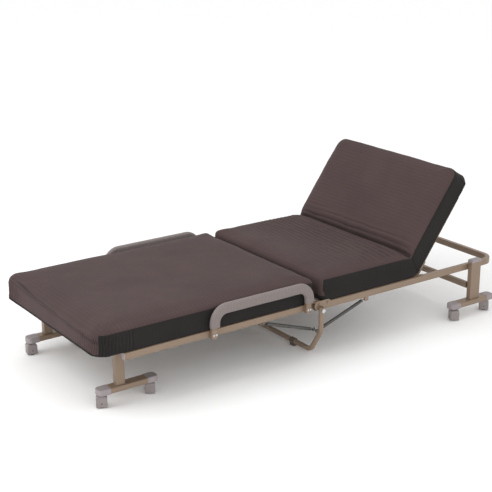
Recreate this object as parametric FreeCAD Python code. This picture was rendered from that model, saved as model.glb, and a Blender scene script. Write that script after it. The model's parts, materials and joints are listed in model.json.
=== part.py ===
import FreeCAD, Part
import math
import os

from FreeCAD import Placement, Rotation, Vector

# Rollaway bed with a centre-up fold and a reclining backrest. Millimetres.
# +X runs to the head, -Y is the near side, +Z is up, Z = 0 is the floor.

# Driving dimensions
HALF_LENGTH = 1050.0      # foot cushion end and head tube face, each way from the origin
HINGE_X = -13.0           # centre hinge
PIVOT_Z = 223.0           # centre hinge and both leg pivots
ARM = 890.0               # leg pivot to centre hinge, the same on both halves
FOOT_PIVOT_X = HINGE_X - ARM
HEAD_PIVOT_X = HINGE_X + ARM

RAIL_LOW = 217.0
DECK_TOP = 245.0          # rail tops and slat tops, where the cushions lie
RAIL_WIDE = 21.0
FOOT_RAIL_IN = 390.0      # inner face of the foot rails; the head rails run just outside them
FOOT_RAIL_OUT = FOOT_RAIL_IN + RAIL_WIDE
HEAD_RAIL_IN = FOOT_RAIL_OUT + 1.0
HEAD_RAIL_OUT = HEAD_RAIL_IN + RAIL_WIDE
FOOT_RAIL_END = FOOT_PIVOT_X - 25.0
RAIL_PAST_HINGE = 16.0    # each rail runs this far beyond the hinge bolt
HEAD_BEND = 60.0          # centreline radius of the head tube's corners
WALL = 1.6

CUSHION_HALF = 416.0
CUSHION_THICK = 100.0
CUSHION_TOP = DECK_TOP + CUSHION_THICK
PLAN_CORNER = 60.0        # plan radius at the foot and the head
SEAM_CORNER = 20.0        # plan radius at the centre seam
CUSHION_EDGE = 14.0
SEAM_GAP = 2.0            # each cushion stops this far from the seam at X = 0

RECLINE_X = 582.0
RECLINE_Z = 232.0
RECLINE_REST = 54.0       # degrees above flat
END_SLANT = math.radians(35.0)
BACK_END_X = 1082.0       # head end of the back cushion, drawn flat

WHEEL_R = 20.0
HOOD_TOP = 50.0
HOOD_LOW = 5.0
HOOD_HALF_LONG = 22.0
HOOD_HALF_WIDE = 20.0
HOOD_WALL = 2.5
AXLE_R = 3.0
TYRE_IN = 1.5             # each wheel runs between these distances from the hood's middle
TYRE_OUT = 16.5
BAR_LOW = 55.0
BAR_TOP = 78.0
BAR_WIDE = 48.0
CAP_LONG = 50.0
CAP_CORNER = 18.0
CAP_PROUD = 1.0           # the moulded caps stand this far outside the tubes
STEM_R = 4.0
STEM_TOP = 70.0
TRAIL = 8.0
CASTER_INSET = 29.0       # caster axis from the bar's end

FOOT_BAR_Y = 312.0
FOOT_BAR_OFFSET = 33.0    # bar centre from the post, towards the head
FOOT_BAR_HALF = 132.0
FOOT_POST_IN = 300.0
FOOT_POST_OUT = 325.0
FOOT_POST_HALF = 20.0
HEAD_BAR_Y = 449.0
HEAD_BAR_HALF = 135.0
HEAD_POST_IN = 437.0
HEAD_POST_OUT = 462.0
HEAD_POST_HALF = 30.0
HEAD_POST_SHIFT = 14.0    # post centre from the pivot, towards the head
HEAD_POST_TOP = 256.0

HANDLE_FOOT_X = -535.0
HANDLE_HEAD_X = -65.0
HANDLE_Y = 431.0
HANDLE_FOOT_BEND = 48.0   # centreline radii of the grip's bends
HANDLE_HEAD_BEND = 62.0
HANDLE_TOP = 334.0        # centreline of the grip
PAD_START_FOOT = 284.0    # lower ends of the grip and its sleeve
PAD_START_HEAD = 262.0
PAD_TALL = 44.0
PAD_THICK = 24.0
GRIP_TALL = 25.0
GRIP_THICK = 15.0

LEG_TUBE_R = 11.0
LEG_Y = 448.0
LEG_TOP = PIVOT_Z + 13.0
LEG_UPPER_BEND = 60.0
LEG_LOWER_BEND = 42.0
LEG_LOW_Y = 382.0
LEG_KNEE_Z = 127.0
CROSSBAR_Z = 22.0

TAB_S = 265.0             # spring tab, along the rail from the hinge
TAB_Z = 209.0
TAB_HALF = 10.0
TAB_THICK = 4.0
KNEE_Z = 120.0
SPRING_R = 7.0
FOOT_SPRING_Y = 399.0
HEAD_SPRING_Y = 422.0

BOLT_R = 4.0
RUN = 0.05                # radial clearance of a running fit
SOFT_GAP = 0.3

X, Y, Z = Vector(1, 0, 0), Vector(0, 1, 0), Vector(0, 0, 1)


def save(node, shapes):
    """Write one named node, from one solid or a group of solids."""
    shapes = shapes if isinstance(shapes, list) else [shapes]
    shape = shapes[0] if len(shapes) == 1 else Part.makeCompound(shapes)
    shape.exportStep("parts/" + node + ".step")


def block(x0, x1, y0, y1, z0, z1):
    return Part.makeBox(x1 - x0, y1 - y0, z1 - z0, Vector(x0, y0, z0))


def rod(radius, start, end):
    """Round bar between two points."""
    along = end - start
    return Part.makeCylinder(radius, along.Length, start, along)


def rod_y(radius, x, z, y0, y1):
    return rod(radius, Vector(x, y0, z), Vector(x, y1, z))


def edges_along(shape, axis):
    """Straight edges parallel to an axis."""
    return [
        e for e in shape.Edges
        if isinstance(e.Curve, Part.Line) and abs(e.Curve.Direction.dot(axis)) > 0.999
    ]


def bar(x0, x1, y0, y1, z0, z1, axis, corner=3.0, wall=WALL):
    """Rectangular tube along an axis, with rounded corners; wall 0 leaves it solid."""
    outer = block(x0, x1, y0, y1, z0, z1)
    outer = outer.makeFillet(corner, edges_along(outer, axis))
    if wall == 0:
        return outer
    low, high = [x0, y0, z0], [x1, y1, z1]
    for i in range(3):
        grow = -1.0 if axis[i] else wall
        low[i] += grow
        high[i] -= grow
    return outer.cut(block(low[0], high[0], low[1], high[1], low[2], high[2]))


def both(shape):
    """A near-side piece and its mirror image on the far side."""
    return [shape, shape.mirror(Vector(0, 0, 0), Y)]


def bent_path(points, radii):
    """Straight runs joined by tangent arcs; radii belong to the inner points."""
    edges = []
    start = points[0]
    for i in range(1, len(points) - 1):
        before = (points[i] - points[i - 1]).normalize()
        after = (points[i + 1] - points[i]).normalize()
        turn = before.getAngle(after)
        reach = radii[i - 1] * math.tan(turn / 2)
        enter = points[i] - before * reach
        leave = points[i] + after * reach
        inward = (after - before).normalize()
        middle = points[i] + inward * (radii[i - 1] / math.cos(turn / 2) - radii[i - 1])
        edges.append(Part.LineSegment(start, enter).toShape())
        edges.append(Part.Arc(enter, middle, leave).toShape())
        start = leave
    edges.append(Part.LineSegment(start, points[-1]).toShape())
    return Part.Wire(edges)


def swept_round(path, radius):
    first = path.Edges[0]
    ring = Part.Circle(first.firstVertex().Point, first.tangentAt(first.FirstParameter), radius)
    return path.makePipeShell([Part.Wire(ring.toShape())], True, True)


def swept_rect(path, side, wide, tall, corner):
    """Rounded rectangle swept along a path; side is the direction of its width at the start."""
    first = path.Edges[0]
    along = first.tangentAt(first.FirstParameter)
    up = along.cross(side)
    centre = first.firstVertex().Point
    u, v = wide / 2 - corner, tall / 2 - corner
    diagonal = math.sqrt(0.5)
    edges = []
    for su, sv in ((1, 1), (-1, 1), (-1, -1), (1, -1)):
        middle = centre + side * (su * u) + up * (sv * v)
        arms = (side * su, up * sv) if su * sv > 0 else (up * sv, side * su)
        bow = (arms[0] + arms[1]) * diagonal
        edges.append(Part.Arc(middle + arms[0] * corner, middle + bow * corner, middle + arms[1] * corner))
    wire = []
    for arc, following in zip(edges, edges[1:] + edges[:1]):
        wire.append(arc.toShape())
        wire.append(Part.LineSegment(arc.EndPoint, following.StartPoint).toShape())
    return path.makePipeShell([Part.Wire(wire)], True, False)


def rounded_block(x0, x1, y_half, z0, z1, corners, edge):
    """Cushion block: corners gives the plan radius at the low-X and high-X ends."""
    shape = block(x0, x1, -y_half, y_half, z0, z1)
    for end, radius in zip((x0, x1), corners):
        if radius:
            ends = [e for e in edges_along(shape, Z) if abs(e.CenterOfMass.x - end) < 1.0]
            shape = shape.makeFillet(radius, ends)
    rims = [e for e in shape.Edges if e.BoundBox.ZLength < 1e-6]
    return shape.makeFillet(edge, rims)


def tilted(shape):
    """A backrest piece, drawn flat, turned up to its rest angle about the recline pivot."""
    turned = shape.copy()
    turned.rotate(Vector(RECLINE_X, 0, RECLINE_Z), Vector(0, -1, 0), RECLINE_REST)
    return turned


def t_bar(x_mid, half, y_mid):
    """Foot bar of one T-leg: a tube between two moulded end caps with caster sockets."""
    y0, y1 = y_mid - BAR_WIDE / 2, y_mid + BAR_WIDE / 2
    inner = half - CAP_LONG
    tube = bar(x_mid - inner, x_mid + inner, y0, y1, BAR_LOW, BAR_TOP, X, 5.0)
    caps = []
    for way in (-1, 1):
        ends = sorted((x_mid + way * inner, x_mid + way * half))
        cap = block(ends[0], ends[1], y0 - CAP_PROUD, y1 + CAP_PROUD,
                    BAR_LOW - CAP_PROUD, BAR_TOP + CAP_PROUD)
        outer = x_mid + way * half
        corners = [e for e in edges_along(cap, Z) if abs(e.CenterOfMass.x - outer) < 1.0]
        cap = cap.makeFillet(CAP_CORNER, corners)
        rims = [
            e for e in cap.Edges
            if e.BoundBox.ZLength < 1e-6 and abs(e.CenterOfMass.x - (x_mid + way * inner)) > 1.0
        ]
        cap = cap.makeFillet(4.0, rims)
        stem_x = x_mid + way * (half - CASTER_INSET)
        socket = rod(STEM_R + RUN, Vector(stem_x, y_mid, 0), Vector(stem_x, y_mid, STEM_TOP + SOFT_GAP))
        caps.append(cap.cut(socket))
    return tube, caps


def caster(x, y, heading):
    """Hooded twin-wheel caster; heading is the way the wheels trail, in degrees from +X."""
    inside = HOOD_HALF_WIDE - HOOD_WALL
    through = HOOD_HALF_WIDE + 1
    seat_low = HOOD_TOP - 7
    hood = block(-HOOD_HALF_LONG, HOOD_HALF_LONG, -HOOD_HALF_WIDE, HOOD_HALF_WIDE, HOOD_LOW, HOOD_TOP)
    tops = [e for e in edges_along(hood, Y) if e.CenterOfMass.z > HOOD_TOP - 1]
    hood = hood.makeFillet(13.0, tops)
    faces = [e for e in hood.Edges if e.BoundBox.YLength < 1e-6 and e.BoundBox.ZMin > HOOD_LOW + 1e-3]
    hood = hood.makeFillet(4.0, faces)
    hood = hood.cut(rod_y(WHEEL_R + 0.5, 0, WHEEL_R, -inside, inside))
    hood = hood.cut(block(1.5 - HOOD_HALF_LONG, HOOD_HALF_LONG - 1.5, -inside, inside, 0, WHEEL_R))
    hood = hood.cut(rod_y(AXLE_R + RUN, 0, WHEEL_R, -through, through))
    hood = hood.cut(rod(STEM_R, Vector(TRAIL, 0, seat_low), Vector(TRAIL, 0, HOOD_TOP + 1)))
    stem = rod(STEM_R, Vector(TRAIL, 0, seat_low), Vector(TRAIL, 0, STEM_TOP))
    collar_top = BAR_LOW - CAP_PROUD - SOFT_GAP
    stem = stem.fuse(rod(STEM_R + 4, Vector(TRAIL, 0, HOOD_TOP), Vector(TRAIL, 0, collar_top)))
    axle_half = HOOD_HALF_WIDE - 0.2
    wheels = [rod_y(AXLE_R, 0, WHEEL_R, -axle_half, axle_half)]
    for y0, y1 in ((-TYRE_OUT, -TYRE_IN), (TYRE_IN, TYRE_OUT)):
        wheel = rod_y(WHEEL_R, 0, WHEEL_R, y0, y1)
        wheel = wheel.makeFillet(2.0, [e for e in wheel.Edges if isinstance(e.Curve, Part.Circle)])
        wheels.append(wheel.cut(rod_y(AXLE_R, 0, WHEEL_R, y0 - 1, y1 + 1)))
    behind_stem = Placement(Vector(-TRAIL, 0, 0), Rotation())
    place = Placement(Vector(x, y, 0), Rotation(Z, heading + 180.0)) * behind_stem
    moved = []
    for shape in [hood, stem] + wheels:
        placed = shape.copy()
        placed.Placement = place
        moved.append(placed)
    return moved[:2], moved[2:]


os.makedirs("parts", exist_ok=True)

# Foot T-legs: posts on the pivot tube, with a stiffening tube between them
outline = block(FOOT_PIVOT_X - FOOT_POST_HALF, FOOT_PIVOT_X + FOOT_POST_HALF, -FOOT_POST_OUT, -FOOT_POST_IN,
                BAR_TOP, PIVOT_Z)
crown = rod_y(FOOT_POST_HALF, FOOT_PIVOT_X, PIVOT_Z, -FOOT_POST_OUT, -FOOT_POST_IN)
hollow = block(FOOT_PIVOT_X - FOOT_POST_HALF + WALL, FOOT_PIVOT_X + FOOT_POST_HALF - WALL,
               -FOOT_POST_OUT + WALL, -FOOT_POST_IN - WALL, BAR_TOP - 1, PIVOT_Z - 24)
BUSH_R = 14.0
PIVOT_TUBE_R = 11.0
post = outline.makeFillet(3.0, edges_along(outline, Z)).fuse(crown).removeSplitter().cut(hollow)
post = post.cut(rod_y(BUSH_R, FOOT_PIVOT_X, PIVOT_Z, -FOOT_POST_OUT - 1, -FOOT_POST_IN + 1))
save("foot_leg_posts", both(post))

bush = rod_y(BUSH_R, FOOT_PIVOT_X, PIVOT_Z, -FOOT_POST_OUT, -FOOT_POST_IN)
bush = bush.cut(rod_y(PIVOT_TUBE_R + RUN, FOOT_PIVOT_X, PIVOT_Z, -FOOT_POST_OUT - 1, -FOOT_POST_IN + 1))
save("foot_leg_bushes", both(bush))

FOOT_CROSS_LOW = 186.0
save("foot_leg_cross_tube",
     bar(FOOT_PIVOT_X - 10, FOOT_PIVOT_X + 10, -FOOT_POST_IN, FOOT_POST_IN,
         FOOT_CROSS_LOW, FOOT_CROSS_LOW + 20, Y))

foot_bar_x = FOOT_PIVOT_X + FOOT_BAR_OFFSET
tube, caps = t_bar(foot_bar_x, FOOT_BAR_HALF, -FOOT_BAR_Y)
save("foot_leg_bars", both(tube))
save("foot_leg_end_caps", both(caps[0]) + both(caps[1]))

# Foot half of the frame
foot_rail = bar(FOOT_RAIL_END, HINGE_X + RAIL_PAST_HINGE, -FOOT_RAIL_OUT, -FOOT_RAIL_IN,
                RAIL_LOW, DECK_TOP, X)
foot_rail = foot_rail.cut(rod_y(BOLT_R, HINGE_X, PIVOT_Z, -FOOT_RAIL_OUT - 1, -FOOT_RAIL_IN + 1))
save("foot_rails", both(foot_rail))

plug = block(FOOT_RAIL_END - 3, FOOT_RAIL_END, -FOOT_RAIL_OUT, -FOOT_RAIL_IN, RAIL_LOW, DECK_TOP)
plug = plug.makeFillet(3.0, edges_along(plug, X))
spigot = block(FOOT_RAIL_END, FOOT_RAIL_END + 12, -FOOT_RAIL_OUT + WALL, -FOOT_RAIL_IN - WALL,
               RAIL_LOW + WALL, DECK_TOP - WALL)
save("foot_rail_plugs", both(plug.fuse(spigot)))

BRACKET_THICK = 4.0
bracket = bar(FOOT_PIVOT_X - 18, FOOT_PIVOT_X + 18, -FOOT_RAIL_IN, -FOOT_RAIL_IN + BRACKET_THICK,
              206.0, 243.0, Y, 8.0, 0)

tube_half = FOOT_RAIL_IN - BRACKET_THICK
pivot_tube = rod_y(PIVOT_TUBE_R, FOOT_PIVOT_X, PIVOT_Z, -tube_half, tube_half)
pivot_tube = pivot_tube.cut(rod_y(PIVOT_TUBE_R - WALL, FOOT_PIVOT_X, PIVOT_Z, -tube_half, tube_half))
save("foot_pivot_tube", [pivot_tube] + both(bracket))

FOOT_CROSS_X = (-765.0, -410.0, -75.0)    # centres of the tubes across the foot frame
FOOT_SLAT_START = -742.0
RUNNER_OUT = 262.0
RUNNER_WIDE = 22.0
PANEL_HEAD_X = -752.0
PANEL_HALF = 280.0
SLAT_WIDE = 45.0
SLAT_THICK = 6.0
SLAT_PITCH = 78.0
CROSS_SIDE = 20.0
slat_low = DECK_TOP - SLAT_THICK


def slats(first_x, count, y_half, z0, z1):
    """Flat cross slats at an even pitch."""
    return [
        bar(x, x + SLAT_WIDE, -y_half, y_half, z0, z1, Y, 1.0, 0)
        for x in [first_x + i * SLAT_PITCH for i in range(count)]
    ]


def cross_tubes(centres, y_half, z1):
    """Square tubes across the frame, under the slats."""
    half = CROSS_SIDE / 2
    return [bar(x - half, x + half, -y_half, y_half, z1 - CROSS_SIDE, z1, Y) for x in centres]


runner = block(-HALF_LENGTH + 40, FOOT_CROSS_X[0] - CROSS_SIDE / 2 - 1, -RUNNER_OUT, RUNNER_WIDE - RUNNER_OUT,
               PIVOT_Z + PIVOT_TUBE_R, slat_low)
save("foot_cross_tubes", cross_tubes(FOOT_CROSS_X, FOOT_RAIL_IN, slat_low) + both(runner))
save("foot_slats", slats(FOOT_SLAT_START, 9, FOOT_RAIL_IN, slat_low, DECK_TOP))
panel = bar(-HALF_LENGTH + 20, PANEL_HEAD_X, -PANEL_HALF, PANEL_HALF, slat_low, DECK_TOP, Z, 30.0, 0)
save("foot_end_panel", panel)

cushion = rounded_block(-HALF_LENGTH, -SEAM_GAP, CUSHION_HALF, DECK_TOP, CUSHION_TOP,
                        (PLAN_CORNER, SEAM_CORNER), CUSHION_EDGE)
save("foot_cushion", cushion)

HINGE_HEAD_R = 9.0
hinge_bolt = rod_y(BOLT_R, HINGE_X, PIVOT_Z, -LEG_Y - LEG_TUBE_R - 1, -FOOT_RAIL_IN + 6)
bolt_head = rod_y(HINGE_HEAD_R, HINGE_X, PIVOT_Z, -LEG_Y - LEG_TUBE_R - 6, -LEG_Y - LEG_TUBE_R - 1)
hinge_nut = rod_y(HINGE_HEAD_R, HINGE_X, PIVOT_Z, -FOOT_RAIL_IN, -FOOT_RAIL_IN + 6)
save("hinge_bolts", both(hinge_bolt.fuse(bolt_head).fuse(hinge_nut)))


def spring_tab(way, inner, outer, pin_in, pin_out):
    """Tab under a rail with the spring's pin; way is -1 on the foot half."""
    x = HINGE_X + way * TAB_S
    plate = bar(x - TAB_HALF, x + TAB_HALF, -outer, -inner, TAB_Z - 9, RAIL_LOW, Y, 4.0, 0)
    return plate.fuse(rod_y(3.0, x, TAB_Z, -pin_out, -pin_in))


EYE_HALF = 3.0
save("foot_spring_tabs",
     both(spring_tab(-1, FOOT_RAIL_IN + 1, FOOT_RAIL_IN + 1 + TAB_THICK, FOOT_RAIL_IN + 1,
                     FOOT_SPRING_Y + EYE_HALF + 2)))

# Side handles: steel feet and a flattened grip tube inside a soft sleeve
handle_path = bent_path(
    [Vector(HANDLE_FOOT_X, -HANDLE_Y, PAD_START_FOOT), Vector(HANDLE_FOOT_X, -HANDLE_Y, HANDLE_TOP),
     Vector(HANDLE_HEAD_X, -HANDLE_Y, HANDLE_TOP), Vector(HANDLE_HEAD_X, -HANDLE_Y, PAD_START_HEAD)],
    [HANDLE_FOOT_BEND, HANDLE_HEAD_BEND])
grip = swept_rect(handle_path, Y, GRIP_THICK, GRIP_TALL, 5.0)
save("handle_grip_tubes", both(grip))
sleeve = swept_rect(handle_path, Y, PAD_THICK, PAD_TALL, 11.0).cut(grip)
save("handle_pads", both(sleeve))

FOOT_LOW = 216.0
FOOT_OUT = 432.5
FOOT_HALF = 13.0
FOOT_BOLT_Z = 231.0
feet = []
bolts = []
for x, foot_top in ((HANDLE_FOOT_X, PAD_START_FOOT), (HANDLE_HEAD_X, PAD_START_HEAD)):
    foot = bar(x - FOOT_HALF, x + FOOT_HALF, -FOOT_OUT, -FOOT_RAIL_OUT, FOOT_LOW, foot_top, Z, 4.0, 0)
    foot = foot.cut(block(x - FOOT_HALF - 1, x + FOOT_HALF + 1, -CUSHION_HALF - 1, -FOOT_RAIL_OUT + 1,
                          DECK_TOP - 1, foot_top + 1))
    for dx in (-6.0, 6.0):
        shank = rod_y(2.5, x + dx, FOOT_BOLT_Z, -FOOT_OUT, -FOOT_RAIL_OUT)
        foot = foot.cut(shank)
        head = rod_y(4.5, x + dx, FOOT_BOLT_Z, -FOOT_OUT - 2, -FOOT_OUT)
        bolts += both(shank.fuse(head))
    feet += both(foot)
save("handle_feet", feet)
save("handle_bolts", bolts)

# Centre leg: one bent tube that hangs from the hinge bolts
leg_path = bent_path(
    [Vector(HINGE_X, -LEG_Y, LEG_TOP), Vector(HINGE_X, -LEG_Y, LEG_KNEE_Z),
     Vector(HINGE_X, -LEG_LOW_Y, CROSSBAR_Z), Vector(HINGE_X, LEG_LOW_Y, CROSSBAR_Z),
     Vector(HINGE_X, LEG_Y, LEG_KNEE_Z), Vector(HINGE_X, LEG_Y, LEG_TOP)],
    [LEG_UPPER_BEND, LEG_LOWER_BEND, LEG_LOWER_BEND, LEG_UPPER_BEND])
centre_leg = swept_round(leg_path, LEG_TUBE_R).cut(swept_round(leg_path, LEG_TUBE_R - WALL))
KNEE_PIN_R = 4.0
knee_pins = []
for way in (-1, 1):
    ends = sorted((way * (FOOT_SPRING_Y - EYE_HALF - 3), way * (LEG_Y + 4)))
    knee = rod_y(KNEE_PIN_R, HINGE_X, KNEE_Z, ends[0], ends[1])
    knee_pins.append(knee)
    centre_leg = centre_leg.cut(knee)
    centre_leg = centre_leg.cut(rod_y(BOLT_R + RUN, HINGE_X, PIVOT_Z, way * LEG_Y - 20, way * LEG_Y + 20))
save("centre_leg_tube", centre_leg)
save("knee_pins", knee_pins)

CLIP_Y = 262.0
CLIP_HALF = 13.0
clip = rod_y(LEG_TUBE_R + 3, HINGE_X, CROSSBAR_Z, -CLIP_Y - CLIP_HALF, -CLIP_Y + CLIP_HALF)
clip = clip.fuse(block(HINGE_X - 9, HINGE_X + 9, -CLIP_Y - CLIP_HALF, -CLIP_Y + CLIP_HALF, 0, CROSSBAR_Z))
clip = clip.cut(rod_y(LEG_TUBE_R, HINGE_X, CROSSBAR_Z, -CLIP_Y - 40, -CLIP_Y + 40))
save("centre_leg_feet", both(clip))


def spring(way, y_mid):
    """Assist spring between a rail tab and the knee pin."""
    tab = Vector(HINGE_X + way * TAB_S, y_mid, TAB_Z)
    knee = Vector(HINGE_X, y_mid, KNEE_Z)
    along = (knee - tab).normalize()
    body = rod(SPRING_R, tab + along * 20, knee - along * 14)
    body = body.fuse(rod_y(SPRING_R, tab.x, tab.z, y_mid - EYE_HALF, y_mid + EYE_HALF))
    body = body.fuse(rod_y(SPRING_R + 1, knee.x, knee.z, y_mid - EYE_HALF, y_mid + EYE_HALF))
    body = body.fuse(rod(2.5, tab, tab + along * 21)).fuse(rod(2.5, knee, knee - along * 15))
    body = body.cut(rod_y(3.0 + RUN, tab.x, tab.z, y_mid - 20, y_mid + 20))
    return body.cut(rod_y(KNEE_PIN_R + RUN, knee.x, knee.z, y_mid - 20, y_mid + 20))


save("foot_springs", both(spring(-1, -FOOT_SPRING_Y)))
save("head_springs", both(spring(1, -HEAD_SPRING_Y)))

# Head half of the frame
straight_end = HALF_LENGTH - RAIL_WIDE / 2 - HEAD_BEND - 20
head_rail = bar(HINGE_X - RAIL_PAST_HINGE, straight_end, -HEAD_RAIL_OUT, -HEAD_RAIL_IN, RAIL_LOW, DECK_TOP, X)
head_rail = head_rail.cut(rod_y(BOLT_R + RUN, HINGE_X, PIVOT_Z, -HEAD_RAIL_OUT - 1, -HEAD_RAIL_IN + 1))
PIVOT_PIN_R = 4.0
head_rail = head_rail.cut(rod_y(PIVOT_PIN_R, HEAD_PIVOT_X, PIVOT_Z, -HEAD_RAIL_OUT - 1, -HEAD_RAIL_IN + 1))
save("head_rails", both(head_rail))

rail_y = (HEAD_RAIL_IN + HEAD_RAIL_OUT) / 2
rail_z = (RAIL_LOW + DECK_TOP) / 2
end_x = HALF_LENGTH - RAIL_WIDE / 2
end_path = bent_path(
    [Vector(straight_end, -rail_y, rail_z), Vector(end_x, -rail_y, rail_z),
     Vector(end_x, rail_y, rail_z), Vector(straight_end, rail_y, rail_z)],
    [HEAD_BEND, HEAD_BEND])
tall = DECK_TOP - RAIL_LOW
end_tube = swept_rect(end_path, Y, RAIL_WIDE, tall, 3.0)
end_tube = end_tube.cut(swept_rect(end_path, Y, RAIL_WIDE - 2 * WALL, tall - 2 * WALL, 1.5))
save("head_end_tube", end_tube)

HEAD_CROSS_X = (55.0, 300.0, 535.0)
SEAT_SLAT_START = 22.0
save("head_cross_tubes", cross_tubes(HEAD_CROSS_X, HEAD_RAIL_IN, slat_low))
save("seat_slats", slats(SEAT_SLAT_START, 7, HEAD_RAIL_IN, slat_low, DECK_TOP))

PLATE_OUT = HEAD_RAIL_OUT + 3.0
PLATE_LOW = 219.0
PLATE_TOP = 258.0
plate = bar(HINGE_X - 26, HINGE_X + 63, -PLATE_OUT, -HEAD_RAIL_OUT, PLATE_LOW, PLATE_TOP, Y, 19.0, 0)
plate = plate.cut(rod_y(BOLT_R + RUN, HINGE_X, PIVOT_Z, -PLATE_OUT - 1, -HEAD_RAIL_OUT + 1))
SCREW_Z = 245.0
screws = []
for x in (HINGE_X, HINGE_X + 45):
    shank = rod_y(3.0, x, SCREW_Z, -PLATE_OUT, -HEAD_RAIL_OUT)
    plate = plate.cut(shank)
    centre = Vector(x, -PLATE_OUT, SCREW_Z)
    corners = [centre + Vector(math.cos(a), 0, math.sin(a)) * 6.0 for a in
               [math.radians(30 + 60 * i) for i in range(7)]]
    hexagon = Part.Face(Part.makePolygon(corners))
    screws += both(hexagon.extrude(Vector(0, -4, 0)).fuse(shank))
save("hinge_plates", both(plate) + screws)

save("head_spring_tabs",
     both(spring_tab(1, HEAD_RAIL_OUT - 2 - TAB_THICK, HEAD_RAIL_OUT - 2, HEAD_SPRING_Y - EYE_HALF - 2,
                     HEAD_RAIL_OUT - 2)))

seat_cushion = rounded_block(SEAM_GAP, RECLINE_X, CUSHION_HALF, DECK_TOP, CUSHION_TOP,
                             (SEAM_CORNER, 0.0), CUSHION_EDGE)
back_cushion = rounded_block(RECLINE_X, BACK_END_X, CUSHION_HALF, DECK_TOP, CUSHION_TOP, (0.0, PLAN_CORNER),
                             CUSHION_EDGE)


def wedge(way):
    """The slice that a slanted end face takes off a cushion at the recline pivot."""
    reach = way * (CUSHION_TOP + 20 - RECLINE_Z) * math.tan(END_SLANT)
    corners = [Vector(RECLINE_X, -500, RECLINE_Z), Vector(RECLINE_X - 80 * way, -500, RECLINE_Z),
               Vector(RECLINE_X - 80 * way, -500, CUSHION_TOP + 20),
               Vector(RECLINE_X + reach, -500, CUSHION_TOP + 20), Vector(RECLINE_X, -500, RECLINE_Z)]
    return Part.Face(Part.makePolygon(corners)).extrude(Vector(0, 1000, 0))


save("seat_cushion", seat_cushion.cut(wedge(-1)))
save("back_cushion", tilted(back_cushion.cut(wedge(1))))

# Recliner: a plate on each rail, a plate on each backrest tube, and the pin between them
BACK_TUBE_IN = 369.0
BACK_TUBE_OUT = 389.0
BACK_TUBE_LOW = 224.0
BACK_TUBE_TOP = 242.0
BACK_FRAME_END = 985.0
FIXED_THICK = 4.0
fixed = bar(RECLINE_X - 34, RECLINE_X + 24, -HEAD_RAIL_IN, -HEAD_RAIL_IN + FIXED_THICK,
            RAIL_LOW + 2, DECK_TOP - 0.5, Y, 8.0, 0)
fixed = fixed.cut(rod_y(BOLT_R, RECLINE_X, RECLINE_Z, -HEAD_RAIL_IN - 1, -HEAD_RAIL_IN + FIXED_THICK + 1))
pin_head_y = -BACK_TUBE_IN + 0.5
pin = rod_y(BOLT_R, RECLINE_X, RECLINE_Z, -HEAD_RAIL_IN, pin_head_y)
pin = pin.fuse(rod_y(BOLT_R + 3, RECLINE_X, RECLINE_Z, pin_head_y, pin_head_y + 4))
save("recliner_fixed_plates", both(fixed) + both(pin))

pin_bore = rod_y(BOLT_R + RUN, RECLINE_X, RECLINE_Z, -BACK_TUBE_OUT - 10, -BACK_TUBE_IN + 10)
moving = bar(RECLINE_X - 10, RECLINE_X + 78, -BACK_TUBE_OUT - 4, -BACK_TUBE_OUT,
             BACK_TUBE_LOW, BACK_TUBE_TOP, Y, 7.0, 0)
save("recliner_moving_plates", [tilted(s) for s in both(moving.cut(pin_bore))])

side = bar(RECLINE_X - 10, BACK_FRAME_END, -BACK_TUBE_OUT, -BACK_TUBE_IN, BACK_TUBE_LOW, BACK_TUBE_TOP, X)
save("back_side_tubes", [tilted(s) for s in both(side.cut(pin_bore))])


def back_cross(x_head):
    """Tube across the backrest; x_head is its head-side face with the back flat."""
    return bar(x_head - 20, x_head, -BACK_TUBE_IN, BACK_TUBE_IN, BACK_TUBE_LOW, BACK_TUBE_TOP, Y)


save("back_cross_tubes", [tilted(back_cross(BACK_FRAME_END)), tilted(back_cross(RECLINE_X + 80))])
save("back_slats",
     [tilted(s) for s in slats(RECLINE_X + 58, 5, BACK_TUBE_OUT, BACK_TUBE_TOP, DECK_TOP)])

# Head T-legs, outside the rails
head_pin = rod_y(PIVOT_PIN_R, HEAD_PIVOT_X, PIVOT_Z, -HEAD_POST_OUT + WALL + 1, -HEAD_RAIL_IN + 5)
head_pin = head_pin.fuse(rod_y(PIVOT_PIN_R + 4, HEAD_PIVOT_X, PIVOT_Z, -HEAD_RAIL_IN, -HEAD_RAIL_IN + 5))
save("head_pivot_pins", both(head_pin))

post_x = HEAD_PIVOT_X + HEAD_POST_SHIFT
head_post = bar(post_x - HEAD_POST_HALF, post_x + HEAD_POST_HALF, -HEAD_POST_OUT, -HEAD_POST_IN,
                BAR_TOP, HEAD_POST_TOP, Z)
head_post = head_post.cut(rod_y(PIVOT_PIN_R + RUN, HEAD_PIVOT_X, PIVOT_Z, -HEAD_POST_OUT + WALL,
                                -HEAD_POST_IN + 1))
save("head_leg_posts", both(head_post))
HEAD_BUSH_R = 12.0
head_bush = rod_y(HEAD_BUSH_R, HEAD_PIVOT_X, PIVOT_Z, -HEAD_POST_OUT + WALL, -HEAD_POST_IN - WALL)
head_bush = head_bush.cut(rod_y(PIVOT_PIN_R + RUN, HEAD_PIVOT_X, PIVOT_Z, -HEAD_POST_OUT, -HEAD_POST_IN))
save("head_leg_bushes", both(head_bush))

post_cap = block(post_x - HEAD_POST_HALF - 1, post_x + HEAD_POST_HALF + 1,
                 -HEAD_POST_OUT - 1, -HEAD_POST_IN + 1, HEAD_POST_TOP, HEAD_POST_TOP + 13)
cap_rims = [e for e in edges_along(post_cap, Y) if e.CenterOfMass.z > HEAD_POST_TOP + 1]
post_cap = post_cap.makeFillet(8.0, cap_rims)
save("head_post_caps", both(post_cap))

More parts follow.
